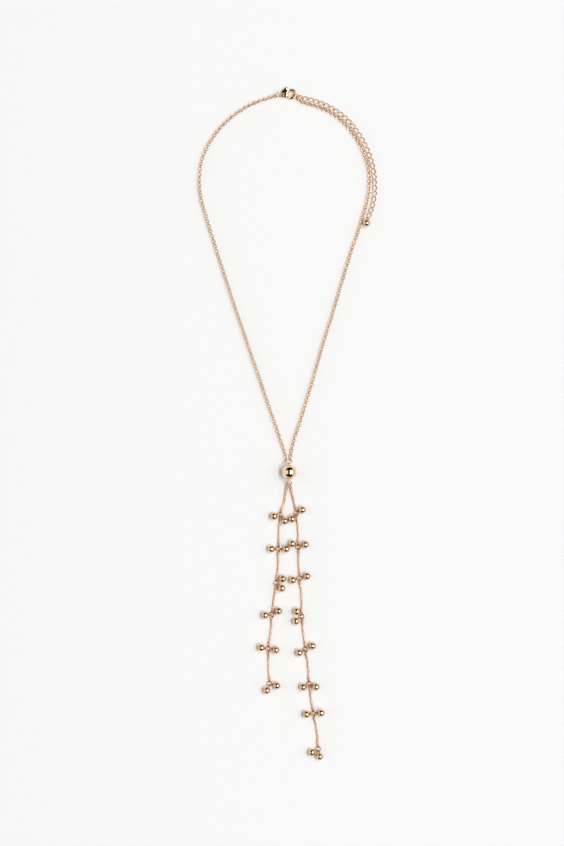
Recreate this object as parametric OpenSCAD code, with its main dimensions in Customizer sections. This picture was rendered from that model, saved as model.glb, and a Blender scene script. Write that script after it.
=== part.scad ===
// A long necklace lying flat: a teardrop loop of fine chain with a lobster clasp and an extender,
// a big bead at the centre, and two strands of snake chain with pairs of ball drops at their joints.
// X runs to the right, Y up the necklace towards the clasp, Z up from the table.

/* [Neck chain] */
// Width of the cable chain over its links
chain_w = 2.0; // [1.5:0.1:2.0]
// Distance between two sections of the chain's tube
chain_step = 5.6; // [4:0.2:8]

/* [Extender] */
// Number of curb links
extender_links = 29; // [27:1:31]
// Play between the wires of two linked links
link_play = 0.13; // [0.1:0.01:0.2]
// Half the width of a link, to the middle of its wire
link_half_w = 1.125; // [1.1:0.005:1.15]
// Thickness of the link's wire
link_wire = 0.45; // [0.3:0.05:0.45]
// Turn of each end of a link about its own length, in degrees
link_twist = 45; // [40:1:50]

/* [Balls] */
// Diameter of a small ball
ball_d = 4.0; // [3.8:0.1:4.0]
// Radius of a ball's eye, to the middle of its wire
eye_r = 0.8; // [0.75:0.05:0.8]
// Thickness of the eye's wire
eye_wire = 0.4; // [0.3:0.02:0.4]
// How far the eye's middle lies from the ball's surface
eye_out = 0.75; // [0.65:0.05:0.8]

/* [Joint rings] */
// Radius of a joint ring, to the middle of its wire
joint_r = 1.3; // [1.25:0.05:1.35]
// Thickness of the joint ring's wire
joint_wire = 0.45; // [0.3:0.05:0.45]
// Height of the joint rings above the table
joint_z = 0.9; // [0.9:0.05:1.1]

/* [Strands] */
// Thickness of the snake chain
strand_d = 1.0; // [0.8:0.05:1.0]
// Diameter of the cap on each end of a length
cap_d = 1.3; // [1.25:0.05:1.3]
// Length of the cap
cap_l = 1.0; // [0.8:0.1:1.2]
// Turn of a cap's eye from upright, in degrees
cap_roll = 30; // [30:1:33]

/* [Centre] */
// Diameter of the big bead
bead_d = 8.0; // [7.8:0.1:8.0]
// Diameter of the hole through the bead
bead_bore = 1.3; // [1.2:0.05:1.4]
// Thickness of the pin through the bead
pin_wire = 0.5; // [0.4:0.05:0.5]
// Radius of the pin's loops, to the middle of the wire
loop_r = 0.65; // [0.6:0.05:0.65]
// Radius of the centre ring, to the middle of its wire
centre_ring_r = 1.95; // [1.9:0.05:2.0]
// Radius of the drop ring, to the middle of its wire
drop_ring_r = 1.35; // [1.3:0.05:1.4]
// Thickness of the wire of both rings
centre_wire = 0.5; // [0.4:0.05:0.5]

/* [Clasp] */
// Radius of the hook, to the middle of its bar
hook_r = 2.2; // [2.15:0.05:2.25]
// Width of the hook's bar
hook_w = 1.1; // [1.0:0.05:1.1]
// Height of the hook's bar
hook_h = 1.15; // [1.1:0.05:1.2]
// Radius of the boss round the pivot
boss_r = 1.35; // [1.3:0.05:1.4]
// Height of the boss
boss_h = 2.6; // [2.4:0.1:2.6]
// Diameter of the pivot pin
pivot_d = 0.7; // [0.6:0.05:0.8]
// Clearance round the pivot pin
pivot_gap = 0.05; // [0.03:0.01:0.08]
// Thickness of the lever's plate
lever_t = 0.6; // [0.5:0.05:0.6]
// Radius of the clasp's jump ring, to the middle of its wire
clasp_ring_r = 1.85; // [1.8:0.05:1.9]
// Radius of the ring that the hook holds, to the middle of its wire
end_ring_r = 1.75; // [1.7:0.05:1.8]
// Thickness of the wire of both of these rings
jump_wire = 0.5; // [0.4:0.05:0.5]

/* [Hidden] */
$fn = 64;
tube_sides = 8;
link_sides = 6;
link_sections = 16;
plating = "#E3B98F";
ball_plating = "#F0D3AC";
clasp_plating = "#CFA877";

// Route of the left neck chain, from the clasp ring down to the centre ring
left_route = [
    [-7.6, 176.8], [-11.5, 175.5], [-20.5, 172.0], [-29.0, 166.5], [-36.0, 160.0], [-42.0, 152.0],
    [-46.0, 143.0], [-47.5, 133.0], [-47.0, 123.0], [-44.5, 113.5], [-41.5, 103.5], [-38.5, 94.0],
    [-32.5, 75.5], [-26.5, 57.5], [-20.0, 38.5], [-13.5, 19.5], [-7.0, 0.5], [-4.0, -8.0],
    [-2.2, -14.0], [-1.1, -18.6]
];
// Route of the right neck chain, from beside the extender's first links down to the centre ring
right_route = [
    [8.1, 173.3], [15.6, 171.4], [23.6, 167.8], [30.7, 162.2], [36.5, 155.0], [40.8, 146.9],
    [43.5, 138.5], [44.2, 129.5], [43.0, 120.5], [40.5, 111.5], [38.0, 103.5], [35.0, 95.0],
    [29.5, 77.0], [24.5, 60.0], [19.0, 42.5], [14.0, 25.0], [9.0, 8.5], [6.0, -1.0],
    [3.5, -9.0], [2.2, -14.5], [1.3, -18.6]
];
// Route of the extender, from the end ring round the outside of the right chain
extender_route = [
    [6.7, 176.2], [13.0, 174.8], [18.9, 172.8], [24.9, 169.8], [30.3, 165.9], [34.8, 161.3],
    [38.8, 155.9], [42.35, 149.4], [44.88, 142.9], [46.35, 137.0], [46.9, 131.0], [47.0, 125.0],
    [46.1, 118.5], [44.0, 112.5]
];

// Columns of the joint tables: place of the ring, then heading, slack and roll of drop a, then of drop b.
// The heading is where the drop lies, and the slack is how much closer than taut it lies. The roll turns its eye
// from upright. All eyes of a joint, its caps' too, turn the same way, like the blades of a fan, so they clear
// one another.
JX = 0;
JY = 1;
HEADING = [2, 5];
SLACK = [3, 6];
ROLL = [4, 7];
left_joints = [
    [-4.0, -49.0, -167, 0.4, -37, -55, 0.0, -34],
    [-4.9, -67.5, 179, 0.0, 34, 1, 0.0, 38],
    [-6.1, -85.8, 34, 0.0, 36, -45, 0.0, 34],
    [-8.4, -102.8, -175, 0.1, 38, 28, 0.1, 35],
    [-10.4, -121.3, 171, 0.0, 34, -9, 0.0, 37],
    [-9.7, -140.1, -115, 0.0, 36, -16, 0.1, 34]
];
right_joints = [
    [4.7, -48.0, -126, 0.0, 34, 27, 0.4, 38],
    [5.8, -66.4, 152, 0.1, 35, 19, 0.1, 36],
    [6.5, -83.2, -165, 0.0, 37, 15, 0.0, 34],
    [7.6, -104.0, 135, 0.0, -34, -143, 0.0, -36],
    [9.7, -121.6, -153, 0.0, 36, 27, 0.0, 34],
    [11.7, -140.2, -153, 0.1, 38, -24, 0.1, 34],
    [14.0, -156.3, -175, 0.0, 34, 5, 0.0, 37],
    [16.6, -175.4, -154, 0.0, 36, -82, 0.0, 35]
];
// Sideways bow of each length of snake chain at its middle
left_bows = [0.3, -0.3, 0.3, -0.2, 0.3, -0.3];
right_bows = [-0.2, 0.3, -0.3, 0.4, -0.2, 0.3, -0.3, 0.4];

// Seats of the rings on one another
wire_play = 0.2;
eye_seat = joint_r + wire_play;
drop_reach = ball_d / 2 + eye_out;
drop_tilt = asin((ball_d / 2 - joint_z) / drop_reach);
cap_seat = eye_r - 0.1;
cap_wall = 0.3;
bore_play = 0.05;

// The big bead, its pin and the rings above and below it
bead_at = [0.8, -26.0, bead_d / 2];
pin_tilt = 0;
loop_reach = bead_d / 2 + loop_r;
loop_sag = 0.06;
loop_shift = 0.03;
centre_ring_low = 0.75;
drop_ring_low = 2.28;
centre_ring_x = 0.45;
top_loop = bead_at + loop_reach * [0, cos(pin_tilt), sin(pin_tilt)];
low_loop = bead_at - loop_reach * [0, cos(pin_tilt), sin(pin_tilt)];
centre_ring_tilt = asin((top_loop[2] - loop_sag - centre_ring_low) / (2 * centre_ring_r));
drop_ring_tilt = asin((low_loop[2] - loop_sag - drop_ring_low) / (2 * drop_ring_r));
centre_ring_at = [
    centre_ring_x,
    top_loop[1] + loop_shift + centre_ring_r * cos(centre_ring_tilt),
    centre_ring_low + centre_ring_r * sin(centre_ring_tilt)
];
drop_ring_at = [
    low_loop[0],
    low_loop[1] - loop_shift - drop_ring_r * cos(drop_ring_tilt),
    drop_ring_low + drop_ring_r * sin(drop_ring_tilt)
];
// Where the first eye of each strand sits on the drop ring, left and right of its lowest point
strand_spread = 28;
strand_seat = drop_ring_r + 0.12;
function strand_start(side) = [
    drop_ring_at[0] + side * strand_seat * sin(strand_spread),
    drop_ring_at[1] - strand_seat * cos(strand_spread) * cos(drop_ring_tilt)
];
strand_start_z = drop_ring_at[2] - strand_seat * cos(strand_spread) * sin(drop_ring_tilt);
strand_z = strand_d / 2;
strand_fall = 3;
first_strand_fall = 8;

// The clasp, drawn with its pivot at the origin and its hook along X, then turned into place
clasp_at = [-1.2, 177.5];
clasp_turn = 8.2;
clasp_z = boss_h / 2;
hook_x = 3.35;
hook_start = 185;
hook_end = 458;
gate_start = 76;
gate_thick_end = 149;
gate_end = 172;
gate_h = 1.1;
// The gate swings in past the hook's tip, so both tips end on arcs about the pivot, a little apart
gate_reach = norm([hook_x, 0] + hook_r * [cos(88), sin(88)]);
tip_gap = 0.1;
root_r = 0.95;
slot_play = 0.1;
slot_reach = boss_r + 0.45;
slot_from = -32;
slot_to = 150;
tail_x = -1.9;
tail_y = 0.25;
tail_r = 0.8;
tail_wire = 0.56;
knob_at = [0.95, 3.7];
knob_r = 0.45;
knob_h = 1.5;
fin = [
    [-0.6, 0.6], [-0.9, 1.2], [-1.5, 1.55], [-2.2, 1.6], [-2.3, 1.85], [0.65, 3.95],
    [1.25, 3.55], [1.3, 2.75], [2.3, 2.75], [2.2, 2.2], [1.1, 1.0], [0.7, 0.4]
];
clasp_ring_at = [-4.83, 177.58];
clasp_ring_heading = 8;
clasp_ring_tilt = 61;
end_ring_at = [4.6, 177.0];
end_ring_heading = -20;
end_ring_tilt = 65;
extender_z = link_half_w * sin(link_twist) + link_wire / 2;
end_eye_back = 0.1;

// Catmull-Rom curve through the points of a route, with k steps for each span
function blend(a, b, c, d, t) = 0.5 * (2 * b + (c - a) * t + (2 * a - 5 * b + 4 * c - d) * t * t
    + (3 * b - a - 3 * c + d) * t * t * t);
function smooth(p, k) = [
    for (i = [0 : len(p) - 2], s = [0 : k - 1])
        blend(p[max(i - 1, 0)], p[i], p[i + 1], p[min(i + 2, len(p) - 1)], s / k),
    p[len(p) - 1]
];
// Length of the line up to each of its points, the place at a length, and the heading there
function lengths(p) = [
    for (i = 0, s = 0; i < len(p); s = s + (i + 1 < len(p) ? norm(p[i + 1] - p[i]) : 0), i = i + 1) s
];
function span(s, d, i = 0) = i + 2 >= len(s) || s[i + 1] >= d ? i : span(s, d, i + 1);
function place(p, s, d) = let (i = span(s, d)) p[i] + (p[i + 1] - p[i]) * (d - s[i]) / (s[i + 1] - s[i]);
function heading(p, s, d) = let (i = span(s, d)) unit(p[i + 1] - p[i]);
function unit(v) = v / norm(v);
function level(p, z) = [p[0], p[1], z];

// A tube swept along points: rings of corners round each point, then the side and end triangles
function tube_ring(p, i, r, n) =
    let (
        t = unit(p[min(i + 1, len(p) - 1)] - p[max(i - 1, 0)]),
        side = unit(cross([0, 0, 1], t)),
        up = cross(t, side)
    )
    [for (j = [0 : n - 1]) p[i] + r * (cos(360 * j / n) * side + sin(360 * j / n) * up)];
function tube_points(p, r, n) = [for (i = [0 : len(p) - 1]) each tube_ring(p, i, r, n)];
function tube_sides_faces(rings, n, base, closed) = [
    for (i = [0 : (closed ? rings - 1 : rings - 2)], j = [0 : n - 1])
        let (
            a = base + i * n + j,
            b = base + i * n + (j + 1) % n,
            c = base + ((i + 1) % rings) * n + (j + 1) % n,
            d = base + ((i + 1) % rings) * n + j
        )
        each [[a, b, c], [a, c, d]]
];
function tube_end_faces(rings, n, base) = [
    for (j = [1 : n - 2]) each [
        [base, base + j + 1, base + j],
        [base + (rings - 1) * n, base + (rings - 1) * n + j, base + (rings - 1) * n + j + 1]
    ]
];
function tube_faces(rings, n, base) = concat(tube_sides_faces(rings, n, base, false), tube_end_faces(rings, n, base));

module tube(p, r) {
    polyhedron(tube_points(p, r, tube_sides), [for (f = tube_faces(len(p), tube_sides, 0)) [f[0], f[2], f[1]]]);
}

// A ring of round wire, lying in the XY plane
module ring(r, wire) {
    rotate_extrude() translate([r, 0]) circle(d = wire);
}

// A bar of stadium section along an arc, from one angle to the other
module arc_bar(r, w, h, from, to) {
    rotate([0, 0, from]) rotate_extrude(angle = to - from) translate([r, 0]) {
        square([w, h - w], center = true);
        translate([0, (h - w) / 2]) circle(d = w);
        translate([0, -(h - w) / 2]) circle(d = w);
    }
}

// Neck chain: a tube over the links, resting on the table
module neck_chain(route) {
    line = smooth([for (q = route) level(q, chain_w / 2)], 6);
    run = lengths(line);
    n = round(run[len(run) - 1] / chain_step);
    color(plating) tube([for (i = [0 : n]) place(line, run, run[len(run) - 1] * i / n)], chain_w / 2);
}

// Extender: curb links, each an oval of wire whose two ends are turned opposite ways about its length
extender_line = smooth([for (q = extender_route) level(q, extender_z)], 8);
extender_run = lengths(extender_line);
extender_pitch = extender_run[len(extender_run) - 1] / (extender_links - 1);
link_half_l = (extender_pitch + link_wire + link_play) / 2;
function link_place(k) = place(extender_line, extender_run, k * extender_pitch);
function link_heading(k) = heading(extender_line, extender_run, k * extender_pitch);
function link_point(a) =
    let (turn = link_twist * cos(a))
    [link_half_l * cos(a), link_half_w * sin(a) * cos(turn), link_half_w * sin(a) * sin(turn)];
function link_ring(a) =
    let (
        t = unit(link_point(a + 2) - link_point(a - 2)),
        out = unit(link_point(a) - (link_point(a) * t) * t),
        up = cross(t, out)
    )
    [
        for (j = [0 : link_sides - 1])
            link_point(a) + link_wire / 2 * (cos(360 * j / link_sides) * out + sin(360 * j / link_sides) * up)
    ];
link_mesh = [for (i = [0 : link_sections - 1]) each link_ring(360 * i / link_sections)];
function along(q, at, u) = at + q[0] * u + q[1] * [-u[1], u[0], 0] + [0, 0, q[2]];

module extender_chain() {
    size = len(link_mesh);
    points = [for (k = [0 : extender_links - 1], q = link_mesh) along(q, link_place(k), link_heading(k))];
    faces = [
        for (k = [0 : extender_links - 1])
            each tube_sides_faces(link_sections, link_sides, k * size, true)
    ];
    color(plating) polyhedron(points, faces);
}

// A ball soldered to an eye of wire, with the eye's middle at the origin and the ball towards +X
module ball_on_eye(roll) {
    rotate([roll, 0, 0]) rotate([90, 0, 0]) ring(eye_r, eye_wire);
    translate([drop_reach, 0, 0]) sphere(d = ball_d);
}

module extender_ball() {
    last = extender_links - 1;
    u = link_heading(last);
    eye = link_place(last) + (link_half_l + end_eye_back) * u;
    color(ball_plating)
        translate(level(eye, extender_z))
        rotate([0, 0, atan2(u[1], u[0])])
        rotate([0, -asin((ball_d / 2 - extender_z) / drop_reach), 0])
        ball_on_eye(link_twist);
}

// One drop of a joint: the eye is threaded on the joint ring and the ball rests on the table
module ball_drop(joint, k) {
    color(ball_plating)
        translate([joint[JX], joint[JY], joint_z])
        rotate([0, 0, joint[HEADING[k]]])
        translate([eye_seat - joint[SLACK[k]], 0, 0])
        rotate([0, -drop_tilt, 0])
        ball_on_eye(joint[ROLL[k]]);
}

module joint_rings(joints) {
    color(plating) for (joint = joints) translate([joint[JX], joint[JY], joint_z]) ring(joint_r, joint_wire);
}

// Each length of snake chain runs from a joint, or from the drop ring, to the next joint
function joint_xy(joint) = [joint[JX], joint[JY]];
function from_xy(joints, side, i) =
    i == 0
        ? strand_start(side)
        : joint_xy(joints[i - 1]) + eye_seat * unit(joint_xy(joints[i]) - joint_xy(joints[i - 1]));
function to_xy(joints, side, i) =
    joint_xy(joints[i])
        - eye_seat * unit(joint_xy(joints[i]) - (i == 0 ? strand_start(side) : joint_xy(joints[i - 1])));
function from_z(i) = i == 0 ? strand_start_z : joint_z;
function fall(i) = i == 0 ? first_strand_fall : strand_fall;

// Points of one length: level inside each cap, falling to the table between them, with a slight bow
function strand_line(joints, side, i, bow) =
    let (
        a = from_xy(joints, side, i),
        b = to_xy(joints, side, i),
        u = unit(b - a),
        across = [-u[1], u[0]],
        inner = cap_seat + cap_wall + bore_play,
        mouth = cap_seat + cap_l + bore_play,
        l = norm(b - a),
        mid = (mouth + fall(i) + l - mouth - strand_fall) / 2
    )
    [
        level(a + inner * u, from_z(i)),
        level(a + mouth * u, from_z(i)),
        level(a + (mouth + fall(i) / 2) * u + bow / 3 * across, (from_z(i) + strand_z) / 2),
        level(a + (mouth + fall(i)) * u + bow * across, strand_z),
        level(a + mid * u + bow * across, strand_z),
        level(b - (mouth + strand_fall) * u + bow * across, strand_z),
        level(b - (mouth + strand_fall / 2) * u + bow / 3 * across, (joint_z + strand_z) / 2),
        level(b - mouth * u, joint_z),
        level(b - inner * u, joint_z)
    ];

module strand(joints, side, bows) {
    lines = [for (i = [0 : len(joints) - 1]) strand_line(joints, side, i, bows[i])];
    rings = len(lines[0]);
    points = [for (line = lines) each tube_points(line, strand_d / 2, tube_sides)];
    faces = [
        for (i = [0 : len(lines) - 1]) each [
            for (f = tube_faces(rings, tube_sides, i * rings * tube_sides)) [f[0], f[2], f[1]]
        ]
    ];
    color(plating) polyhedron(points, faces);
}

// A cap with its eye at the origin and its mouth towards +X
module strand_cap(roll) {
    rotate([90 + roll, 0, 0]) ring(eye_r, eye_wire);
    translate([cap_seat, 0, 0]) rotate([0, 90, 0]) difference() {
        cylinder(d = cap_d, h = cap_l);
        translate([0, 0, cap_wall]) cylinder(d = strand_d + 2 * bore_play, h = cap_l);
    }
}

function cap_turn(joint) = cap_roll * sign(joint[ROLL[0]]);

module strand_caps(joints, side) {
    color(plating) for (i = [0 : len(joints) - 1]) {
        a = from_xy(joints, side, i);
        b = to_xy(joints, side, i);
        turn = atan2(b[1] - a[1], b[0] - a[0]);
        translate(level(a, from_z(i))) rotate([0, 0, turn]) strand_cap(i == 0 ? 0 : cap_turn(joints[i - 1]));
        translate(level(b, joint_z)) rotate([0, 0, turn + 180]) strand_cap(cap_turn(joints[i]));
    }
}

module centre_ring() {
    color(plating) translate(centre_ring_at) rotate([-centre_ring_tilt, 0, 0]) ring(centre_ring_r, centre_wire);
}

module centre_bead() {
    color(ball_plating) translate(bead_at) rotate([pin_tilt, 0, 0]) difference() {
        sphere(d = bead_d);
        rotate([90, 0, 0]) cylinder(d = bead_bore, h = bead_d + 2, center = true);
    }
}

module bead_pin() {
    color(plating) translate(bead_at) rotate([pin_tilt, 0, 0]) {
        rotate([90, 0, 0]) cylinder(d = pin_wire - 0.06, h = bead_d + 0.1, center = true);
        for (side = [-1, 1]) translate([0, side * loop_reach, 0]) rotate([0, 90, 0]) ring(loop_r, pin_wire);
    }
}

module drop_ring() {
    color(plating) translate(drop_ring_at) rotate([drop_ring_tilt, 0, 0]) ring(drop_ring_r, centre_wire);
}

// The clasp's frame, with Z at the middle of its height
module in_clasp() {
    translate([clasp_at[0], clasp_at[1], clasp_z]) rotate([0, 0, clasp_turn]) children();
}

// A pie slice about the pivot, as a prism
module sector(r, h, from, to) {
    rotate([0, 0, from]) rotate_extrude(angle = to - from) translate([0, -h / 2]) square([r, h]);
}

module clasp_body() {
    slot_h = lever_t + 2 * slot_play;
    color(clasp_plating) in_clasp() {
        difference() {
            union() {
                cylinder(r = boss_r, h = boss_h, center = true);
                difference() {
                    translate([hook_x, 0, 0]) arc_bar(hook_r, hook_w, hook_h, hook_start, hook_end);
                    sector(gate_reach + tip_gap, hook_h + 1, 5, 90);
                }
                translate([tail_x, tail_y, 0]) ring(tail_r, tail_wire);
            }
            cylinder(r = root_r + slot_play, h = slot_h, center = true);
            sector(slot_reach, slot_h, slot_from, slot_to);
        }
        cylinder(d = pivot_d, h = boss_h, center = true);
    }
}

module clasp_lever() {
    color(clasp_plating) in_clasp() {
        difference() {
            union() {
                cylinder(r = root_r, h = lever_t, center = true);
                intersection() {
                    translate([hook_x, 0, 0])
                        arc_bar(hook_r, hook_w - 0.1, gate_h, gate_start, gate_thick_end);
                    cylinder(r = gate_reach, h = gate_h + 1, center = true);
                }
                translate([hook_x, 0, 0]) rotate([0, 0, gate_thick_end - 2])
                    rotate_extrude(angle = gate_end - gate_thick_end + 2)
                    translate([hook_r, 0]) square([hook_w - 0.4, lever_t], center = true);
                translate([0, 0, -lever_t / 2]) linear_extrude(lever_t) polygon(fin);
                translate([knob_at[0], knob_at[1], 0]) cylinder(r = knob_r, h = knob_h, center = true);
            }
            cylinder(r = pivot_d / 2 + pivot_gap, h = lever_t + 1, center = true);
        }
    }
}

module clasp_ring() {
    color(plating)
        translate(level(clasp_ring_at, clasp_ring_r * sin(clasp_ring_tilt) + jump_wire / 2))
        rotate([0, 0, clasp_ring_heading]) rotate([clasp_ring_tilt, 0, 0])
        ring(clasp_ring_r, jump_wire);
}

module chain_end_ring() {
    color(plating)
        translate(level(end_ring_at, end_ring_r * sin(end_ring_tilt) + jump_wire / 2))
        rotate([0, 0, end_ring_heading]) rotate([end_ring_tilt, 0, 0])
        ring(end_ring_r, jump_wire);
}

neck_chain(left_route);  // neck_chain_left
neck_chain(right_route);  // neck_chain_right
extender_chain();
extender_ball();
clasp_body();
clasp_lever();
clasp_ring();
chain_end_ring();
centre_ring();
centre_bead();
bead_pin();
drop_ring();
strand(left_joints, -1, left_bows);  // strand_left
strand(right_joints, 1, right_bows);  // strand_right
strand_caps(left_joints, -1);  // strand_caps_left
strand_caps(right_joints, 1);  // strand_caps_right
joint_rings(left_joints);  // joint_rings_left
joint_rings(right_joints);  // joint_rings_right
ball_drop(left_joints[0], 0);  // ball_left_1a
ball_drop(left_joints[0], 1);  // ball_left_1b
ball_drop(left_joints[1], 0);  // ball_left_2a
ball_drop(left_joints[1], 1);  // ball_left_2b
ball_drop(left_joints[2], 0);  // ball_left_3a
ball_drop(left_joints[2], 1);  // ball_left_3b
ball_drop(left_joints[3], 0);  // ball_left_4a
ball_drop(left_joints[3], 1);  // ball_left_4b
ball_drop(left_joints[4], 0);  // ball_left_5a
ball_drop(left_joints[4], 1);  // ball_left_5b
ball_drop(left_joints[5], 0);  // ball_left_6a
ball_drop(left_joints[5], 1);  // ball_left_6b
ball_drop(right_joints[0], 0);  // ball_right_1a
ball_drop(right_joints[0], 1);  // ball_right_1b
ball_drop(right_joints[1], 0);  // ball_right_2a
ball_drop(right_joints[1], 1);  // ball_right_2b
ball_drop(right_joints[2], 0);  // ball_right_3a
ball_drop(right_joints[2], 1);  // ball_right_3b
ball_drop(right_joints[3], 0);  // ball_right_4a
ball_drop(right_joints[3], 1);  // ball_right_4b
ball_drop(right_joints[4], 0);  // ball_right_5a
ball_drop(right_joints[4], 1);  // ball_right_5b
ball_drop(right_joints[5], 0);  // ball_right_6a
ball_drop(right_joints[5], 1);  // ball_right_6b
ball_drop(right_joints[6], 0);  // ball_right_7a
ball_drop(right_joints[6], 1);  // ball_right_7b
ball_drop(right_joints[7], 0);  // ball_right_8a
ball_drop(right_joints[7], 1);  // ball_right_8b
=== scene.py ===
"""A long rose gold necklace laid flat on a pale table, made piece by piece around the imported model.
Everything is in metres: mm turns a size in millimetres into metres."""

import bpy
import numpy as np
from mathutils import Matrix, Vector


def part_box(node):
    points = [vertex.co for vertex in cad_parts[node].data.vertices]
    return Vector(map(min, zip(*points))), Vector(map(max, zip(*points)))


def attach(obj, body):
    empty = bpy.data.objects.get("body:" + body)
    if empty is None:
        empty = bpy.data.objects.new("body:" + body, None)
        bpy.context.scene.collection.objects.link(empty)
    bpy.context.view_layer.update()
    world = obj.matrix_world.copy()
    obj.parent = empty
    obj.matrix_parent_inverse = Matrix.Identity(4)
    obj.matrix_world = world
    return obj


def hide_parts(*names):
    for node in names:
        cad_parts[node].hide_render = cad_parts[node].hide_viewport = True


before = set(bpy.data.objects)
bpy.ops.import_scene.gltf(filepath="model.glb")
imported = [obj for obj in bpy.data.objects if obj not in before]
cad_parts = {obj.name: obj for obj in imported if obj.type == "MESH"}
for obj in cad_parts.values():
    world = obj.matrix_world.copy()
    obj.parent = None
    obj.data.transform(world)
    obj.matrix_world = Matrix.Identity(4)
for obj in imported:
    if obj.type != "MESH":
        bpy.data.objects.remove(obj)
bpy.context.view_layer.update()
mm = 0.001

# Big bead
# A hollow bead spun from brass sheet, drilled through, polished to a mirror and plated with pale rose gold.
# It lies on the table, threaded on the bead pin.


def linear(hex_colour):
    """Linear colour of an sRGB hex: each part over 12.92 where dark, else to the power 2.4 with its toe."""
    parts = np.array([int(hex_colour[i : i + 2], 16) for i in (1, 3, 5)]) / 255
    bright = ((parts + 0.055) / 1.055) ** 2.4
    return (*np.where(parts <= 0.04045, parts / 12.92, bright), 1.0)


def add(tree, kind, inputs=None, **settings):
    """Adds a shader node: settings and inputs go by name, and an input is a value or another node's output."""
    made = tree.nodes.new("ShaderNode" + kind)
    for name, value in settings.items():
        setattr(made, name, value)
    for name, value in (inputs or {}).items():
        if isinstance(value, bpy.types.NodeSocket):
            tree.links.new(value, made.inputs[name])
        else:
            made.inputs[name].default_value = value
    return made


# Rubbed spots are finer than the patches of tint, by this factor.
rub_fineness = 2.7


def plated_brass(name, plating, deep, gloss, patch, mark, depth):
    """Plated brass. Its tint drifts from plating to deep over patches of the given size and from one copy to
    the next, its roughness runs over the two values of gloss, and marks of the given width and depth roughen
    it finely."""
    material = bpy.data.materials.new(name)
    material.use_nodes = True
    tree = material.node_tree
    shader = tree.nodes["Principled BSDF"]
    place = add(tree, "TexCoord").outputs["Object"]
    cloud = add(tree, "TexNoise", {"Vector": place, "Scale": 1 / patch, "Detail": 3.0}).outputs["Fac"]
    tone = add(tree, "Attribute", attribute_name="tone").outputs["Fac"]
    drift = add(tree, "Math", {0: cloud, 1: tone}, operation="MULTIPLY").outputs[0]
    tint = add(tree, "ValToRGB", {"Fac": drift})
    tint.color_ramp.elements[0].color = linear(plating)
    tint.color_ramp.elements[1].color = linear(deep)
    tree.links.new(tint.outputs["Color"], shader.inputs["Base Color"])
    rub = add(tree, "TexNoise", {"Vector": place, "Scale": rub_fineness / patch, "Detail": 6.0,
                                 "Roughness": 0.65})
    dull = add(tree, "MapRange", {"Value": rub.outputs["Fac"], "From Min": 0.3, "From Max": 0.7,
                                  "To Min": gloss[0], "To Max": gloss[1]})
    tree.links.new(dull.outputs["Result"], shader.inputs["Roughness"])
    marks = add(tree, "TexNoise", {"Vector": place, "Scale": 1 / mark, "Detail": 4.0}).outputs["Fac"]
    bump = add(tree, "Bump", {"Height": marks, "Strength": 1.0, "Distance": depth})
    tree.links.new(bump.outputs["Normal"], shader.inputs["Normal"])
    shader.inputs["Metallic"].default_value = 1.0
    return material


def revolved(profile, sides):
    """Surface of revolution about X: (x, r cos a, r sin a) for each point (x, r) of the profile."""
    a = np.linspace(0, 2 * np.pi, sides, endpoint=False)
    x, r = profile[:, :1], profile[:, 1:]
    return np.stack([x + 0 * a, r * np.cos(a), r * np.sin(a)], -1)


def placed(surface, at, forward, roll=0.0):
    """Copies of a surface, one at each place: its X lies along forward, its Y is level and across, and both Y
    and Z are then rolled about forward, by degrees."""
    at, forward = np.atleast_2d(at), np.atleast_2d(forward)
    forward = forward / np.linalg.norm(forward, axis=1, keepdims=True)
    across = np.cross([0, 0, 1], forward)
    across /= np.linalg.norm(across, axis=1, keepdims=True)
    up = np.cross(forward, across)
    roll = np.radians(np.broadcast_to(roll, len(at)))[:, None]
    y, z = np.cos(roll) * across + np.sin(roll) * up, np.cos(roll) * up - np.sin(roll) * across
    axes = np.stack(np.broadcast_arrays(forward, y, z), 1)
    return np.einsum("rck,nkd->nrcd", surface, axes) + at[:, None, None]


# Every copy of a shape gets its own tone, and every chain link its own slight roll.
tones = np.random.default_rng(11)


def make_piece(name, finish, *surfaces, crease=40):
    """One mesh of closed surfaces. Each is a stack of grids, copies x rows x columns x 3, whose columns close
    on themselves. Where the last row repeats the first the rows close too, and else each end row is one flat
    face. A surface that would face inwards, by its signed volume, has its columns turned round. Edges that
    bend by more than the crease, in degrees, stay sharp."""
    points, faces, tone, first = [], [], [], 0
    for grids in surfaces:
        joined = np.allclose(grids[:, 0], grids[:, -1])
        grids = grids[:, :-1] if joined else grids
        copies, rows, columns = grids.shape[:3]
        i = np.arange(rows if joined else rows - 1)[:, None]
        j = np.arange(columns)
        right, below = (j + 1) % columns, (i + 1) % rows
        quads = np.stack(np.broadcast_arrays(i * columns + j, i * columns + right,
                                             below * columns + right, below * columns + j), -1).reshape(-1, 4)
        ends = [] if joined else [j[::-1], j + (rows - 1) * columns]
        p = grids[0].reshape(-1, 3) - grids[0].reshape(-1, 3).mean(0)
        a, b, c, d = (p[quads[:, k]] for k in range(4))
        if np.sum(a * np.cross(b, c) + a * np.cross(c, d)) < 0:
            quads, ends = quads[:, ::-1], [end[::-1] for end in ends]
        for copy in range(copies):
            start = first + copy * rows * columns
            faces += (quads + start).tolist() + [(end + start).tolist() for end in ends]
        points.append(grids.reshape(-1, 3))
        tone.append(np.repeat(tones.uniform(0.4, 1.0, copies), rows * columns))
        first += copies * rows * columns
    mesh = bpy.data.meshes.new(name)
    mesh.from_pydata(np.concatenate(points), [], faces)
    mesh.attributes.new("tone", "FLOAT", "POINT").data.foreach_set("value", np.concatenate(tone))
    mesh.shade_smooth()
    mesh.set_sharp_from_angle(angle=np.radians(crease))
    mesh.materials.append(finish)
    piece = bpy.data.objects.new(name, mesh)
    bpy.context.scene.collection.objects.link(piece)
    return piece


def fit(piece, node, body="necklace"):
    """Lets a piece ride on its body and stand for its node."""
    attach(piece, body)
    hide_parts(node)


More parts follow.
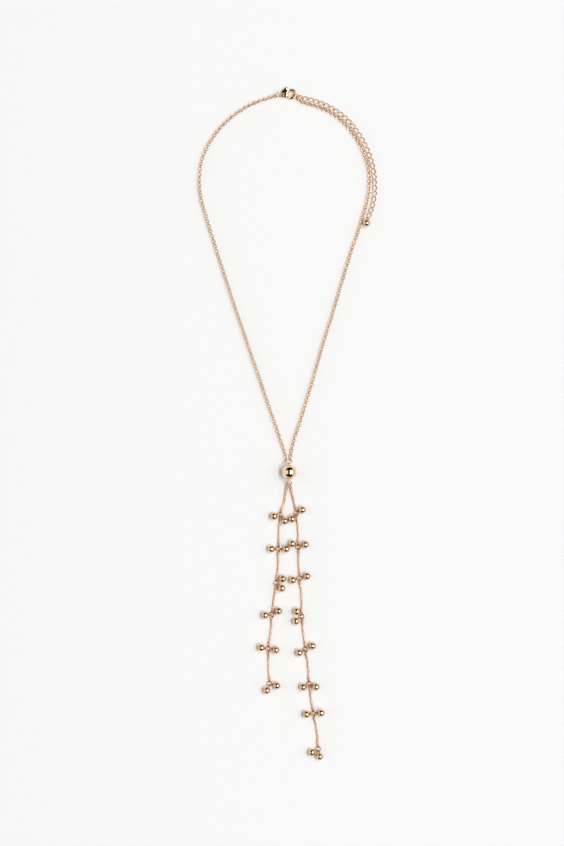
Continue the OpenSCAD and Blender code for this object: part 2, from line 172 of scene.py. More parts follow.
# Mirror polished rose gold plating: buffed after plating, so it reflects sharply, with a faint orange peel.
mirror_plating = plated_brass("Mirror polished rose gold plating", "#F7DCBA", "#EBC6A0", (0.02, 0.06),
                              patch=3 * mm, mark=0.6 * mm, depth=0.0015 * mm)
bead_low, bead_high = (np.array(corner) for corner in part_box("centre_bead"))
bead_at = (bead_low + bead_high) / 2
bead_r = (bead_high[2] - bead_low[2]) / 2
bead_bore_r = 0.65 * mm
bead_lip = 0.15 * mm
bead_axis = np.array([0.0, 1.0, 0.0])

# The profile runs over the ball, round one lip of the bore, through the bore and round the other lip.
lip_start = np.arcsin((bead_bore_r + bead_lip) / bead_r)
over = np.linspace(lip_start, np.pi - lip_start, 64)
lip = np.linspace(0, np.pi / 2, 6)[1:]
lip_x = bead_r * np.cos(lip_start) - bead_lip * (1 - np.cos(lip))
lip_r = bead_bore_r + bead_lip * (1 - np.sin(lip))
bead_profile = np.concatenate([
    np.stack([bead_r * np.cos(over), bead_r * np.sin(over)], -1),
    np.stack([-lip_x, lip_r], -1),
    np.stack([lip_x, lip_r], -1)[::-1],
    [[bead_r * np.cos(lip_start), bead_r * np.sin(lip_start)]],
])
bead = make_piece("Big_bead", mirror_plating, placed(revolved(bead_profile, 96), bead_at, bead_axis))
fit(bead, "centre_bead")

# Bead pin
# Soft brass wire pushed through the bead and bent into a loop at each end, tumbled bright and plated.
# The rings above and below the bead hang on its loops.


def wire_ring(radius, wire, cut=0.0, rows=48, sides=14):
    """Ring of round wire about Z: ((R + r cos b) cos a, (R + r cos b) sin a, r sin b), open at its cut."""
    gap = cut / radius / 2
    a = np.linspace(gap, 2 * np.pi - gap, rows)[:, None]
    b = np.linspace(0, 2 * np.pi, sides, endpoint=False)
    reach = radius + wire / 2 * np.cos(b)
    return np.stack([reach * np.cos(a), reach * np.sin(a), wire / 2 * np.sin(b) + 0 * a], -1)


# Tumbled rose gold plated wire: drawn, bent and tumbled in shot, so it is softly dented, with a satin shine.
wire_plating = plated_brass("Tumbled rose gold plated wire", "#F2CA9D", "#DCB083", (0.18, 0.32),
                            patch=1.2 * mm, mark=0.16 * mm, depth=0.004 * mm)
pin_wire = 0.5 * mm
loop_r = 0.65 * mm
loop_reach = bead_r + loop_r
pin_cut = 0.06 * mm
# The rod is a hair thinner than the loops, so it ends inside their wire.
pin_half = bead_r + 0.05 * mm
rod_r = pin_wire / 2 - 0.03 * mm
pin_rod = revolved(np.array([[-pin_half, rod_r], [pin_half, rod_r]]), 16)
loops_at = bead_at + np.outer([1, -1], bead_axis * loop_reach)
# The loops stand upright along the pin, and each is turned so that its wire starts at the bead.
pin_loops = placed(wire_ring(loop_r, pin_wire, pin_cut), loops_at, np.outer([1, -1], bead_axis), 90)
bead_pin = make_piece("Bead_pin", wire_plating, placed(pin_rod, bead_at, bead_axis), pin_loops)
fit(bead_pin, "bead_pin")

# Centre ring and drop ring
# Jump rings of round wire, cut from a coil and closed with two pliers, so each keeps a fine cut.
# The centre ring carries the bead on both neck chains, and the drop ring carries the two strands below it.
ring_wire = 0.5 * mm
ring_cut = 0.05 * mm


def tilted_ring(node, wire, cut_at, lean):
    """Jump ring that leans about X: its middle, size and lean are worked out from its node's box."""
    low, high = (np.array(corner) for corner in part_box(node))
    radius = (high[0] - low[0] - wire) / 2
    tilt = np.degrees(np.arcsin((high[2] - low[2] - wire) / (2 * radius)))
    ring = wire_ring(radius, wire, ring_cut, rows=72, sides=16)
    turn = np.radians(cut_at)
    ring = ring @ np.array([[np.cos(turn), np.sin(turn), 0], [-np.sin(turn), np.cos(turn), 0], [0, 0, 1]])
    return placed(ring, (low + high) / 2, [1, 0, 0], lean * tilt)


centre_ring = make_piece("Centre_ring", wire_plating, tilted_ring("centre_ring", ring_wire, 200, -1))
fit(centre_ring, "centre_ring")
drop_ring = make_piece("Drop_ring", wire_plating, tilted_ring("drop_ring", ring_wire, 20, 1))
fit(drop_ring, "drop_ring")

# Joint rings
# Small jump rings lying flat between the lengths of snake chain: each holds two caps and two ball drops.
# Columns: x and y of the ring, then heading, slack and roll of its two ball drops, a and b.
joint_columns = ["x", "y", "heading_a", "slack_a", "roll_a", "heading_b", "slack_b", "roll_b"]
left_joints = [
    [-4.0, -49.0, -167, 0.4, -37, -55, 0.0, -34],
    [-4.9, -67.5, 179, 0.0, 34, 1, 0.0, 38],
    [-6.1, -85.8, 34, 0.0, 36, -45, 0.0, 34],
    [-8.4, -102.8, -175, 0.1, 38, 28, 0.1, 35],
    [-10.4, -121.3, 171, 0.0, 34, -9, 0.0, 37],
    [-9.7, -140.1, -115, 0.0, 36, -16, 0.1, 34],
]
right_joints = [
    [4.7, -48.0, -126, 0.0, 34, 27, 0.4, 38],
    [5.8, -66.4, 152, 0.1, 35, 19, 0.1, 36],
    [6.5, -83.2, -165, 0.0, 37, 15, 0.0, 34],
    [7.6, -104.0, 135, 0.0, -34, -143, 0.0, -36],
    [9.7, -121.6, -153, 0.0, 36, 27, 0.0, 34],
    [11.7, -140.2, -153, 0.1, 38, -24, 0.1, 34],
    [14.0, -156.3, -175, 0.0, 34, 5, 0.0, 37],
    [16.6, -175.4, -154, 0.0, 36, -82, 0.0, 35],
]
strands = {side: dict(zip(joint_columns, np.array(rows, float).T))
           for side, rows in (("left", left_joints), ("right", right_joints))}
joint_r = 1.3 * mm
joint_wire = 0.45 * mm
joint_z = 0.9 * mm
golden_angle = 137.5
# Rose gold plating on small rings and caps: duller and browner than the other wire. The browner colour is
# painted shade and reflection, which darkens the tight knots of rings, caps and balls at the joints.
shaded_ring_plating = plated_brass("Duller rose gold plated wire with painted shade", "#E8B083", "#B97C50", (0.09, 0.22),
                            patch=0.9 * mm, mark=0.14 * mm, depth=0.004 * mm)
for side, joints in strands.items():
    joints["at"] = np.stack([joints["x"], joints["y"], 0 * joints["x"]], -1) * mm + [0, 0, joint_z]
    # Each cut is turned to its own place round the ring.
    turned = np.radians(np.arange(len(joints["at"])) * golden_angle)
    facing = np.stack([np.cos(turned), np.sin(turned), 0 * turned], -1)
    rings = placed(wire_ring(joint_r, joint_wire, ring_cut), joints["at"], facing)
    # The joint rings take the browner plating, whose colour is painted shade for the knots.
    joint_rings = make_piece(f"Joint_rings_{side}", shaded_ring_plating, rings)
    fit(joint_rings, f"joint_rings_{side}")

# Ball drops
# Hollow brass balls, mirror polished and plated, each soldered to a small eye of wire, where the solder draws
# up into a low cone. Two of them hang on each joint ring and rest on the table.
ball_r = 2.0 * mm
eye_r = 0.8 * mm
eye_wire = 0.4 * mm
wire_play = 0.2 * mm
eye_stand = 0.75 * mm
drop_reach = ball_r + eye_stand
drop_tilt = np.arcsin((ball_r - joint_z) / drop_reach)
solder_rise = 0.3 * mm
solder_spread = np.radians(9)

# Angles round the ball from its eye, closer together on the solder.
polar = np.concatenate([np.linspace(0.6, 20, 14), np.linspace(24, 179, 36)]) * np.pi / 180
ball_reach = ball_r + solder_rise * np.exp(-((polar / solder_spread) ** 2))
ball_profile = np.stack([drop_reach - ball_reach * np.cos(polar), ball_reach * np.sin(polar)], -1)
ball = revolved(ball_profile, 48)
eye = wire_ring(eye_r, eye_wire, rows=33, sides=12)


def leaning(heading, tilt):
    """Direction at a heading on the table, raised by a tilt: (cos h cos t, sin h cos t, sin t)."""
    return np.array([np.cos(heading) * np.cos(tilt), np.sin(heading) * np.cos(tilt), np.sin(tilt)])


# Barrel polished rose gold plating: the balls are polished loose in a barrel, and come out a shade deeper.
ball_plating = plated_brass("Barrel polished rose gold plating", "#E6C5A2", "#D2A780", (0.02, 0.05),
                            patch=1.5 * mm, mark=0.3 * mm, depth=0.0015 * mm)
for side, joints in strands.items():
    for i, joint_at in enumerate(joints["at"]):
        for drop in "ab":
            heading = np.radians(joints["heading_" + drop][i])
            seat = joint_r + wire_play - joints["slack_" + drop][i] * mm
            eye_at = joint_at + seat * leaning(heading, 0)
            lean = leaning(heading, drop_tilt)
            piece = make_piece(f"Ball_drop_{side}_{i + 1}{drop}", ball_plating, placed(ball, eye_at, lean),
                               placed(eye, eye_at, lean, 90 + joints["roll_" + drop][i]))
            fit(piece, f"ball_{side}_{i + 1}{drop}")

# Strand caps
# Turned brass end caps, soldered over the ends of the snake chain, each with an eye that hangs on a joint
# ring. The first two hang on the drop ring.
cap_r = 0.65 * mm
cap_bore_r = 0.55 * mm
cap_l = 1.0 * mm
cap_wall = 0.3 * mm
cap_seat = eye_r - 0.1 * mm
bore_play = 0.05 * mm
cap_edge = 0.14 * mm
# The caps' eyes turn from upright the same way as the drops' eyes on their joint ring.
cap_roll = 30
strand_spread = np.radians(28)
side_sign = {"left": -1, "right": 1}

ring_low, ring_high = (np.array(corner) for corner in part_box("drop_ring"))
drop_ring_r = (ring_high[0] - ring_low[0] - ring_wire) / 2
drop_ring_tilt = np.arcsin((ring_high[2] - ring_low[2] - ring_wire) / (2 * drop_ring_r))
strand_seat = drop_ring_r + 0.12 * mm

# The cap's profile: a rounded shoulder behind the eye, a bead round the mouth, and the bore for the chain. It
# starts and ends a hair off the axis, where a tiny flat closes it.
pole_r = 0.02 * mm
mouth_bead_at = cap_seat + cap_l - 0.12 * mm
mouth_bead_half = 0.1 * mm
mouth_bead_rise = 0.05 * mm
mouth_r = cap_r - 0.03 * mm
shoulder = np.linspace(0, np.pi / 2, 7)
shoulder_x = cap_seat + cap_edge * (1 - np.sin(shoulder))
shoulder_r = cap_r - cap_edge * (1 - np.cos(shoulder))
mouth_bead = np.linspace(0, np.pi, 7)
mouth_x = mouth_bead_at - mouth_bead_half * np.cos(mouth_bead)
cap_profile = np.concatenate([
    [[cap_seat, pole_r]],
    np.stack([shoulder_x, shoulder_r], -1)[::-1],
    np.stack([mouth_x, cap_r + mouth_bead_rise * np.sin(mouth_bead)], -1),
    [[cap_seat + cap_l, mouth_r], [cap_seat + cap_l, cap_bore_r]],
    [[cap_seat + cap_wall, cap_bore_r], [cap_seat + cap_wall, pole_r]],
])
cap = revolved(cap_profile, 28)
for side, joints in strands.items():
    spread = side_sign[side] * np.sin(strand_spread)
    ring_fall = -strand_seat * np.cos(strand_spread)
    start = (ring_low + ring_high) / 2 + [strand_seat * spread, ring_fall * np.cos(drop_ring_tilt),
                                          ring_fall * np.sin(drop_ring_tilt)]
    before, after = np.vstack([start, joints["at"][:-1]]), joints["at"]
    course = (after - before) * [1, 1, 0]
    course /= np.linalg.norm(course, axis=1, keepdims=True)
    seats = (joint_r + wire_play) * course
    joints["from"], joints["to"] = before + seats, after - seats
    joints["from"][0] = start
    caps_at = np.vstack([joints["from"], joints["to"]])
    level_course = (joints["to"] - joints["from"]) * [1, 1, 0]
    caps_along = np.vstack([level_course, -level_course])
    turns = cap_roll * np.sign(joints["roll_a"])
    # The caps and their eyes take the browner plating too, whose colour is painted shade for the knots.
    caps = make_piece(f"Strand_caps_{side}", shaded_ring_plating, placed(cap, caps_at, caps_along),
                      placed(eye, caps_at, caps_along, 90 + np.concatenate([[0], turns[:-1], turns])))
    fit(caps, f"strand_caps_{side}")

# Snake chain
# Thin snake chain: curved links of rolled strip, closed on one another so that they make a flexible tube of
# fine zig-zag rings. Each length falls from its caps to the table and lies on it in a slight bow.


def curve_through(points, steps=16):
    """Catmull-Rom curve through points: cubic spans, whose end slopes are half the step across each end."""
    held = np.vstack([points[:1], points, points[-1:]])
    a, b, c, d = (held[k : len(points) - 1 + k, None] for k in range(4))
    t = (np.arange(steps) / steps)[:, None]
    spans = 0.5 * (2 * b + (c - a) * t + (2 * a - 5 * b + 4 * c - d) * t**2 + (3 * b - a - 3 * c + d) * t**3)
    return np.vstack([spans.reshape(-1, points.shape[1]), points[-1]])


def walk(line, distances):
    """Places at distances along a line, and the directions there."""
    run = np.concatenate([[0], np.cumsum(np.linalg.norm(np.diff(line, axis=0), axis=1))])
    slopes = np.gradient(line, run, axis=0)
    at = np.stack([np.interp(distances, run, column) for column in line.T], -1)
    along = np.stack([np.interp(distances, run, column) for column in slopes.T], -1)
    return at, along / np.linalg.norm(along, axis=1, keepdims=True)


def line_length(line):
    """Length of a line of points."""
    return np.linalg.norm(np.diff(line, axis=0), axis=1).sum()


# Rolled rose gold plated strip: bright where the rings bulge and duller in the grooves between them.
strip_plating = plated_brass("Rolled rose gold plated strip", "#EFC9A7", "#D5A380", (0.14, 0.28),
                             patch=1.0 * mm, mark=0.1 * mm, depth=0.003 * mm)
strand_r = 0.5 * mm
strand_z = 0.5 * mm
strand_fall = 3 * mm
first_strand_fall = 8 * mm
snake_pitch = 0.5 * mm
snake_groove = 0.09 * mm
snake_zigzags = 4
rows_a_ring = 8
# How far each length is bowed to its left, in mm.
bows = {"left": [0.3, -0.3, 0.3, -0.2, 0.3, -0.3], "right": [-0.2, 0.3, -0.3, 0.4, -0.2, 0.3, -0.3, 0.4]}


def snake_length(start, end, fall, bow):
    """One length: level in each cap, falling to the table over the fall, and bowed aside between. The tube's
    radius is r - g |cos(pi (s / pitch + cos(z a) / 4))| ** 6, so each groove g swings to and fro z times
    round it."""
    course = (end - start) * [1, 1, 0]
    span = np.linalg.norm(course)
    course /= span
    aside = np.array([-course[1], course[0], 0]) * bow
    inner, mouth = cap_seat + cap_wall + bore_play, cap_seat + cap_l + bore_play
    on_table = [1, 1, 0] * start + [0, 0, strand_z]
    from_table = [1, 1, 0] * end + [0, 0, strand_z]
    line = curve_through(np.array([
        start + inner * course,
        start + mouth * course,
        (start + on_table) / 2 + (mouth + fall / 2) * course + aside / 3,
        on_table + (mouth + fall) * course + aside,
        on_table + (fall + span - strand_fall) / 2 * course + aside,
        from_table - (mouth + strand_fall) * course + aside,
        (end + from_table) / 2 - (mouth + strand_fall / 2) * course + aside / 3,
        end - mouth * course,
        end - inner * course,
    ]))
    # The curve would dip a hair below the table where each fall ends.
    line[:, 2] = np.maximum(line[:, 2], strand_z)
    rings = round(line_length(line) / snake_pitch)
    s = np.linspace(0, 1, rings * rows_a_ring + 1)
    at, along = walk(line, s * line_length(line))
    a = np.linspace(0, 2 * np.pi, 24, endpoint=False)
    across = np.cross([0, 0, 1], along)
    across /= np.linalg.norm(across, axis=1, keepdims=True)
    up = np.cross(along, across)
    groove = np.abs(np.cos(np.pi * (s[:, None] * rings + np.cos(snake_zigzags * a) / 4))) ** 6
    r = (strand_r - snake_groove * groove)[..., None]
    a = a[None, :, None]
    return (at[:, None] + r * (np.cos(a) * across[:, None] + np.sin(a) * up[:, None]))[None]


for side, joints in strands.items():
    falls = [first_strand_fall] + [strand_fall] * (len(joints["at"]) - 1)
    courses = zip(joints["from"], joints["to"], falls, np.array(bows[side]) * mm)
    lengths = [snake_length(*course) for course in courses]
    strand = make_piece(f"Snake_chain_{side}", strip_plating, *lengths)
    fit(strand, f"strand_{side}")

# Neck chains
# Fine cable chain: round links of drawn wire, each soldered closed and turned a quarter from the last,
# tumbled and plated. The last link of each side hangs on the centre ring, and the first on the clasp ring or
# the end ring.
left_route = [
    [-6.8, 176.85], [-8.5, 176.5], [-11.5, 175.5], [-20.5, 172.0], [-29.0, 166.5], [-36.0, 160.0],
    [-42.0, 152.0], [-46.0, 143.0], [-47.5, 133.0], [-47.0, 123.0], [-44.5, 113.5], [-41.5, 103.5],
    [-38.5, 94.0],
    [-32.5, 75.5], [-26.5, 57.5], [-20.0, 38.5], [-13.5, 19.5], [-7.0, 0.5], [-4.0, -8.0],
    [-2.1, -14.0], [-0.6, -18.8],
]
right_route = [
    [5.9, 175.0], [8.1, 173.6], [15.6, 171.4], [23.6, 167.8], [30.7, 162.2], [36.5, 155.0], [40.8, 146.9],
    [43.5, 138.5], [44.2, 129.5], [43.0, 120.5], [40.5, 111.5], [38.0, 103.5], [35.0, 95.0],
    [29.5, 77.0], [24.5, 60.0], [19.0, 42.5], [14.0, 25.0], [9.0, 8.5], [6.0, -1.0],
    [3.5, -9.0], [2.3, -14.0], [1.45, -18.8],
]
# How far the links are rolled about the chain. Columns: distance from the centre ring in mm, and degrees.
left_rolls = [[0, 0], [14, 8], [24, 24], [60, 20], [68, 30], [76, 20], [110, 23], [150, 21], [217, 25]]
right_rolls = [[0, 0], [12, 8], [20, 24], [50, 20], [58, 30], [66, 20], [100, 24], [160, 21], [217, 23]]
link_wire = 0.41 * mm
link_half_l = 0.94 * mm
link_half_w = 0.9 * mm
link_pitch = 1.43 * mm
link_solder = 0.08
roll_scatter = 4


def link_of_wire(line, wire, solder, sides=8):
    """Closed link of wire about the origin: each ring of points stands out from the line along the line's own
    place, less its part along the wire, and across that. The wire is thicker by solder over the middle of one
    long side."""
    along = np.roll(line[:-1], -1, 0) - np.roll(line[:-1], 1, 0)
    along = np.vstack([along, along[:1]])
    along /= np.linalg.norm(along, axis=1, keepdims=True)
    out = line - np.sum(line * along, 1, keepdims=True) * along
    out /= np.linalg.norm(out, axis=1, keepdims=True)
    across = np.cross(along, out)
    from_solder = np.linspace(0, 360, len(line)) - 90
    solder_over = 14
    r = (wire / 2 * (1 + solder * np.exp(-((from_solder / solder_over) ** 2))))[:, None, None]
    b = np.linspace(0, 2 * np.pi, sides, endpoint=False)[None, :, None]
    return line[:, None] + r * (np.cos(b) * out[:, None] + np.sin(b) * across[:, None])


a = np.linspace(0, 2 * np.pi, 13)
cable_line = np.stack([link_half_l * np.cos(a), link_half_w * np.sin(a), 0 * a], -1)
cable_link = link_of_wire(cable_line, link_wire, link_solder, sides=5)
for side, route, rolls in (("left", left_route, left_rolls), ("right", right_route, right_rolls)):
    line = curve_through(np.array(route[::-1]) * mm)
    rolls = np.array(rolls, float)
    # An odd number of gaps between links lays the first link flat where the last one stands up.
    links = 2 * round(line_length(line) / link_pitch / 2 - 0.5) + 2
    distance = np.linspace(0, line_length(line), links)
    at, along = walk(line, distance)
    roll = np.interp(distance / mm, rolls[:, 0], rolls[:, 1]) + tones.normal(0, roll_scatter, links)
    # The links rest on the table, so they lie lower where both kinds lean over.
    steep = np.maximum(np.abs(np.sin(np.radians(roll))), np.abs(np.cos(np.radians(roll))))
    z = link_half_w * steep + link_wire / 2
    at, along = np.column_stack([at, z]), np.column_stack([along, 0 * z])
    turned = roll + 90 * (np.arange(links) + 1)
    chain = make_piece(f"Neck_chain_{side}", wire_plating, placed(cable_link, at, along, turned), crease=100)
    fit(chain, f"neck_chain_{side}")

# Clasp
# A lobster clasp, cast in brass, tumbled and plated: two cheeks hold the lever on a riveted pin, and a tail
# eye hangs on the clasp ring. The lever closes against the hook's tip, and the spring inside brings it back.


def arc_bar(middle, radius, angles, width, height, slant=0.0, sides=28):
    """Bar bent round middle in the XY plane. Each section is |x / w| ** 2.2 + |z / h| ** 2.2 = 1, with w and h
    half the width and height there, and is turned so that its outer side lies further on by the slant."""
    b = np.linspace(0, 2 * np.pi, sides, endpoint=False)
    round_off = 2 / 2.2
    x = np.sign(np.cos(b)) * np.abs(np.cos(b)) ** round_off
    z = np.sign(np.sin(b)) * np.abs(np.sin(b)) ** round_off
    angles = np.radians(angles[:, None] + np.reshape(slant, (-1, 1)) * x)
    reach = radius + np.asarray(width)[:, None] / 2 * x
    return np.stack([middle[0] + reach * np.cos(angles), middle[1] + reach * np.sin(angles),
                     np.asarray(height)[:, None] / 2 * z], -1)


def button(x, y, low, high, radius, edge, dome=1.0, sides=48):
    """Round button about Z: straight sided, with a quarter round edge at each end. The edges reach inwards by
    their height times the dome."""
    q = np.linspace(0, np.pi / 2, 10)
    rim = np.stack([low + edge[0] * (1 - np.cos(q)), radius - dome * edge[0] * (1 - np.sin(q))], -1)
    top = np.stack([high - edge[1] * (1 - np.cos(q)), radius - dome * edge[1] * (1 - np.sin(q))], -1)[::-1]
    turned_up = revolved(np.vstack([[[low, pole_r]], rim, top, [[high, pole_r]]]), sides)
    return turned_up[..., [1, 2, 0]] + [x, y, 0]


cut_angle = 8
cut_over = 25


def cut_slant(past):
    """Slant of the sections before a slanted cut, in degrees: it grows evenly from none to the cut's own."""
    return cut_angle * np.clip(past / cut_over, 0, 1)


def rounded_end(past, over):
    """What is left of a section at a bar's end: sqrt(1 - (past / over) ** 2), and no less than sqrt(0.3)."""
    return np.sqrt(np.clip(1 - np.clip(past / over, 0, 1) ** 2, 0.3, 1))


# Cast rose gold plated brass: a little darker than the wire, with the soft dimples of the casting.
cast_plating = plated_brass("Cast rose gold plated brass", "#E4C19B", "#BF9770", (0.07, 0.17),
                            patch=2.0 * mm, mark=0.25 * mm, depth=0.004 * mm)
clasp_at = np.array([-1.2, 177.5, 1.3]) * mm
clasp_along = leaning(np.radians(8.2), 0)
hook_at = np.array([3.35, 0]) * mm
hook_r = 2.2 * mm
boss_r = 1.35 * mm
# The hook runs round from its root on the boss to its tip, by degrees. The tip is cut at a slant, as the
# gate's is, and the last degrees before each end round its edge.
hook_root, hook_tip = 195.5, 445
hook_w = 1.1 * mm
root_round = 9.5
tip_round, tip_round_over = 3, 3.2
hook_angles = np.linspace(hook_root, hook_tip, 76)
slant = cut_slant(hook_angles - (hook_tip - cut_over))
tip = rounded_end(hook_angles - (hook_tip - tip_round), tip_round_over)
tip *= rounded_end(hook_root + root_round - hook_angles, root_round)
# It is 1.15 mm high, and swells by 0.95 mm towards the boss.
swell = np.exp(-(((hook_angles - 200) / 25) ** 2))
hook = arc_bar(hook_at, hook_r, hook_angles, hook_w * tip, (1.15 + 0.95 * swell) * mm * tip, slant)
# The boss is a wall round the back of the pin, with a domed cheek over it and one under it.
wall_r, wall_w, wall_h = 1.19 * mm, 0.3 * mm, 0.9 * mm
wall_angles = np.linspace(152, 322, 30)
flat = np.ones(len(wall_angles))
boss_wall = arc_bar((0, 0), wall_r, wall_angles, wall_w * flat, wall_h * flat)
cheek_in, cheek_out = 0.42 * mm, 1.3 * mm
sharp_edge, dome_edge, dome_reach = 0.03 * mm, 0.4 * mm, 2.6
cheeks = [button(0, 0, cheek_in, cheek_out, boss_r, (sharp_edge, dome_edge), dome_reach),
          button(0, 0, -cheek_out, -cheek_in, boss_r, (dome_edge, sharp_edge), dome_reach)]
rivet_r = 0.35 * mm
rivet = button(0, 0, -cheek_out + 0.01 * mm, cheek_out + 0.05 * mm, rivet_r, (0.02 * mm, 0.06 * mm))
tail_eye_r, tail_eye_wire = 0.8 * mm, 0.56 * mm
tail_eye = wire_ring(tail_eye_r, tail_eye_wire) + np.array([-1.9, 0.25, 0]) * mm
# The neck between the tail eye and the boss is a small egg.
neck_x, neck_half_l, neck_r = -1.3 * mm, 0.5 * mm, 0.42 * mm
half_turn = np.linspace(0, np.pi, 11)
tail_neck = revolved(np.stack([neck_x - neck_half_l * np.cos(half_turn),
                               neck_r * np.sin(half_turn) + 0.01 * mm], -1), 24)
clasp = make_piece("Clasp_body", cast_plating,
                   *(placed(shape, clasp_at, clasp_along)
                     for shape in (hook, boss_wall, *cheeks, rivet, tail_eye, tail_neck)))
fit(clasp, "clasp_body")

# The lever: a plate round the pin, a gate that follows the hook's curve, and a fin with a knob for the nail.
lever_t = 0.6 * mm
root_r = 0.95 * mm
pin_hole_r = 0.4 * mm
gate_tip, gate_root = 87, 172
gate_angles = np.linspace(gate_tip, gate_root, 44)
# The gate is 1 mm wide and 1.1 mm high, and thins by 0.3 mm and 0.5 mm where it blends into the plate.
blend_from, blend_over = 138, 11
blend_in = np.clip((gate_angles - blend_from) / blend_over, 0, 1)
blend_in = blend_in**2 * (3 - 2 * blend_in)
tip = rounded_end(gate_tip + tip_round - gate_angles, tip_round_over)
gate = arc_bar(hook_at, hook_r, gate_angles, (1.0 - 0.3 * blend_in) * tip * mm,
               (1.1 - 0.5 * blend_in) * tip * mm, cut_slant(gate_tip + cut_over - gate_angles))
plate_half, plate_edge = lever_t / 2, 0.06 * mm
plate_profile = np.array([
    [-plate_half, pin_hole_r], [-plate_half, root_r - plate_edge], [-plate_half + plate_edge, root_r],
    [plate_half - plate_edge, root_r], [plate_half, root_r - plate_edge], [plate_half, pin_hole_r],
    [-plate_half, pin_hole_r],
])
root_plate = revolved(plate_profile, 48)[..., [1, 2, 0]]
fin_outline = np.array([
    [-0.6, 0.6], [-0.95, 1.2], [-1.5, 1.5], [-2.15, 1.6], [-2.2, 1.85], [-1.0, 2.9], [0.65, 3.9],
    [1.15, 3.55], [1.35, 2.8], [2.2, 2.65], [2.1, 2.2], [1.1, 1.0], [0.7, 0.45],
]) * mm
fin_middle = fin_outline.mean(0)
# The faces of the fin are flat in the middle and fall softly towards its edge. Columns: the outline's scale
# about its middle, and the height in mm.
fin_edge = np.array([
    [0.5, -0.3], [0.55, -0.3], [0.9, -0.27], [1.0, -0.2], [1.0, 0.2], [0.9, 0.27], [0.55, 0.3], [0.5, 0.3],
])
fin_line = curve_through(np.vstack([fin_outline, fin_outline[:1]]), 6)[:-1]
fin = np.stack([np.column_stack([fin_middle + (fin_line - fin_middle) * scale,
                                 np.full(len(fin_line), height * mm)]) for scale, height in fin_edge])
knob_r, knob_half, knob_edge = 0.45 * mm, 0.75 * mm, 0.2 * mm
knob = button(0.95 * mm, 3.7 * mm, -knob_half, knob_half, knob_r, (knob_edge, knob_edge), sides=32)
lever = make_piece("Clasp_lever", cast_plating,
                   *(placed(shape, clasp_at, clasp_along) for shape in (gate, root_plate, fin, knob)))
fit(lever, "clasp_lever", "lever")

# Clasp ring and chain end ring
# Jump rings that lean against the clasp: one joins its tail eye to the left chain, and its hook holds the
# other, where the right chain and the extender start. Columns: the piece and its node, then x, y and radius
# in mm, and heading and tilt in degrees.
clasp_rings = [
    ("Clasp_ring", "clasp_ring", -4.83, 177.58, 1.85, 8, 61),
    ("Chain_end_ring", "chain_end_ring", 4.6, 177.0, 1.75, -20, 65),
]
for name, node, x, y, radius, heading, tilt in clasp_rings:
    z = radius * mm * np.sin(np.radians(tilt)) + ring_wire / 2
    ring = placed(wire_ring(radius * mm, ring_wire, ring_cut, rows=72, sides=16), [x * mm, y * mm, z],
                  leaning(np.radians(heading), 0), tilt)
    fit(make_piece(name, wire_plating, ring), node)

# Extender
# Curb chain of drawn wire: each oval link is soldered closed and twisted, so that the links lie flat in a
# row. A ball drop hangs on its last link.
extender_route = [
    [6.7, 176.2], [13.0, 174.8], [18.9, 172.8], [24.9, 169.8], [30.3, 165.9], [34.8, 161.3],
    [38.8, 155.9], [42.35, 149.4], [44.88, 142.9], [46.35, 137.0], [46.9, 131.0], [47.0, 125.0],
    [46.1, 118.5], [44.0, 112.5],
]
extender_links = 29
curb_wire = 0.4 * mm
curb_play = 0.13 * mm
curb_half_w = 1.05 * mm
curb_twist = np.radians(45)
curb_solder = 0.1
line = curve_through(np.array(extender_route) * mm, 8)
pitch = line_length(line) / (extender_links - 1)
curb_half_l = (pitch + curb_wire + curb_play) / 2
curb_z = curb_half_w * np.sin(curb_twist) + curb_wire / 2
# A curb link: an oval (l cos a, w sin a) whose sides are turned about its length by the twist times cos a.
a = np.linspace(0, 2 * np.pi, 41)
twist = curb_twist * np.cos(a)
curb_line = np.stack([curb_half_l * np.cos(a), curb_half_w * np.sin(a) * np.cos(twist),
                      curb_half_w * np.sin(a) * np.sin(twist)], -1)
at, along = walk(line, np.arange(extender_links) * pitch)
at = np.column_stack([at, np.full(extender_links, curb_z)])
along = np.column_stack([along, np.zeros(extender_links)])
curb_link = link_of_wire(curb_line, curb_wire, curb_solder, sides=12)
extender = make_piece("Extender_chain", wire_plating, placed(curb_link, at, along))
fit(extender, "extender_chain")

end_eye_back = 0.1 * mm
eye_at = at[-1] + (curb_half_l + end_eye_back) * along[-1]
end_tilt = np.arcsin((ball_r - curb_z) / drop_reach)
lean = leaning(np.arctan2(along[-1, 1], along[-1, 0]), end_tilt)
end_ball = make_piece("Extender_ball", ball_plating, placed(ball, eye_at, lean),
                      placed(eye, eye_at, lean, 90 + np.degrees(curb_twist)))
fit(end_ball, "extender_ball")

# Table
# A matt white board, slightly mottled, which isn't part of the necklace.
table_half = 4.0
fibre_patch = 4 * mm
table_mesh = bpy.data.meshes.new("Table")
table_mesh.from_pydata([(-table_half, -table_half, 0), (table_half, -table_half, 0),
                        (table_half, table_half, 0), (-table_half, table_half, 0)], [], [(0, 1, 2, 3)])
board = bpy.data.materials.new("Matt white board")
board.use_nodes = True
fibre = add(board.node_tree, "TexNoise", {"Vector": add(board.node_tree, "TexCoord").outputs["Object"],
                                          "Scale": 1 / fibre_patch, "Detail": 5.0})
paper = add(board.node_tree, "ValToRGB", {"Fac": fibre.outputs["Fac"]})
paper.color_ramp.elements[0].color = linear("#F6F6F5")
paper.color_ramp.elements[1].color = linear("#F9F9F9")
board_shader = board.node_tree.nodes["Principled BSDF"]
board.node_tree.links.new(paper.outputs["Color"], board_shader.inputs["Base Color"])
board_shader.inputs["Roughness"].default_value = 0.9
table_mesh.materials.append(board)
table = bpy.data.objects.new("Table", table_mesh)
bpy.context.scene.collection.objects.link(table)

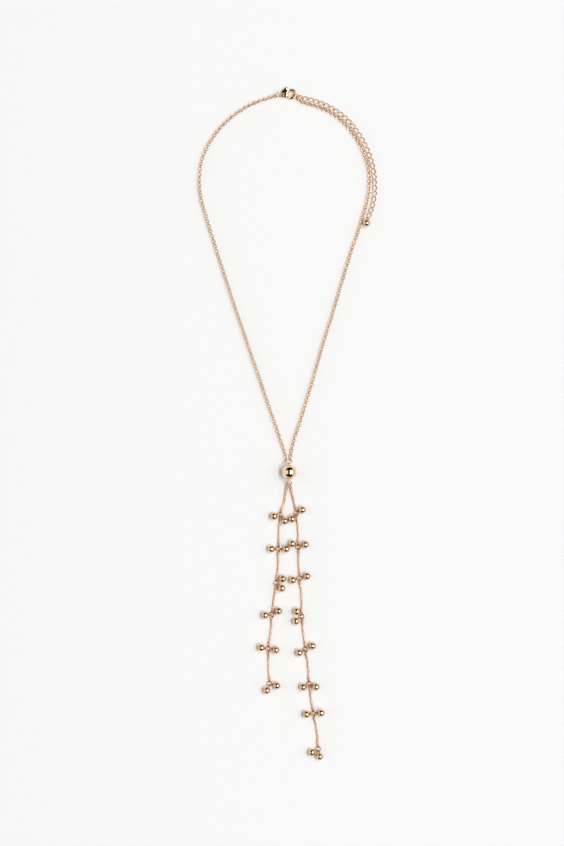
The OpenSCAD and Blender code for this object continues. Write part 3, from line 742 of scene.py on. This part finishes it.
# Camera and light
# The camera looks straight down, a little left of the necklace's middle. The necklace lies in a white light
# tent with a dark slit overhead, which is wider at both ends, and with a shaded hem at its right. A panel and
# a strip light shine through its right side.
camera_height = 1.5
view_height = 0.4569
camera_data = bpy.data.cameras.new("Camera")
camera_data.sensor_width = 36
camera_data.lens = 36 * camera_height / view_height
camera_data.clip_end = 20
camera = bpy.data.objects.new("Camera", camera_data)
camera.location = (-0.0031, 0.0005, camera_height)
bpy.context.scene.collection.objects.link(camera)
bpy.context.scene.camera = camera


def soft_box(name, tilt, distance, width, depth, radiance):
    """Rectangular soft box facing the origin from a tilt about Y, of a radiance L: its power is pi L w d."""
    data = bpy.data.lights.new(name, "AREA")
    data.shape = "RECTANGLE"
    data.size, data.size_y = width, depth
    data.energy = np.pi * radiance * width * depth
    light = bpy.data.objects.new(name, data)
    light.location = (distance * np.sin(tilt), 0, distance * np.cos(tilt))
    light.rotation_euler = (0, tilt, 0)
    bpy.context.scene.collection.objects.link(light)


soft_box("Panel_light", tilt=np.radians(40), distance=6.0, width=4.6, depth=7.2, radiance=0.6)
soft_box("Strip_light", tilt=np.radians(20.5), distance=6.0, width=0.84, depth=6.0, radiance=14.0)
world = bpy.data.worlds.new("Light tent")
bpy.context.scene.world = world
world.use_nodes = True
tent = world.node_tree
way = add(tent, "SeparateXYZ", {"Vector": add(tent, "TexCoord").outputs["Generated"]})
# The slit's half width by its height: none near the table, wide at both ends, and narrow overhead.
slit_edge, slit_dark, tent_white = 0.04, 0.005, 0.96
slit = add(tent, "ValToRGB", {"Fac": way.outputs["Z"]})
slit.color_ramp.elements[0].position, slit.color_ramp.elements[1].position = 0.18, 0.22
for position in (0.66, 0.74):
    slit.color_ramp.elements.new(position)
for element, half_width in zip(slit.color_ramp.elements, (0.0, 0.70, 0.70, 0.32)):
    element.color = (half_width, half_width, half_width, 1)
aside = add(tent, "Math", {0: way.outputs["X"]}, operation="ABSOLUTE").outputs[0]
past = add(tent, "Math", {0: aside, 1: slit.outputs["Color"]}, operation="SUBTRACT").outputs[0]
white = add(tent, "MapRange", {"Value": past, "From Min": -slit_edge, "From Max": slit_edge,
                               "To Min": slit_dark, "To Max": tent_white})
hem_height, hem_shade = 0.2, 0.3
right = add(tent, "Math", {0: way.outputs["X"], 1: 0.0}, operation="GREATER_THAN").outputs[0]
low = add(tent, "Math", {0: way.outputs["Z"], 1: hem_height}, operation="LESS_THAN").outputs[0]
hem = add(tent, "Math", {0: right, 1: low}, operation="MULTIPLY").outputs[0]
shade = add(tent, "MapRange", {"Value": hem, "From Min": 0.0, "From Max": 1.0,
                               "To Min": 1.0, "To Max": hem_shade}).outputs[0]
both = add(tent, "Math", {0: white.outputs["Result"], 1: shade}, operation="MULTIPLY").outputs[0]
tent.links.new(both, tent.nodes["Background"].inputs["Color"])
bpy.context.scene.view_settings.view_transform = "Standard"
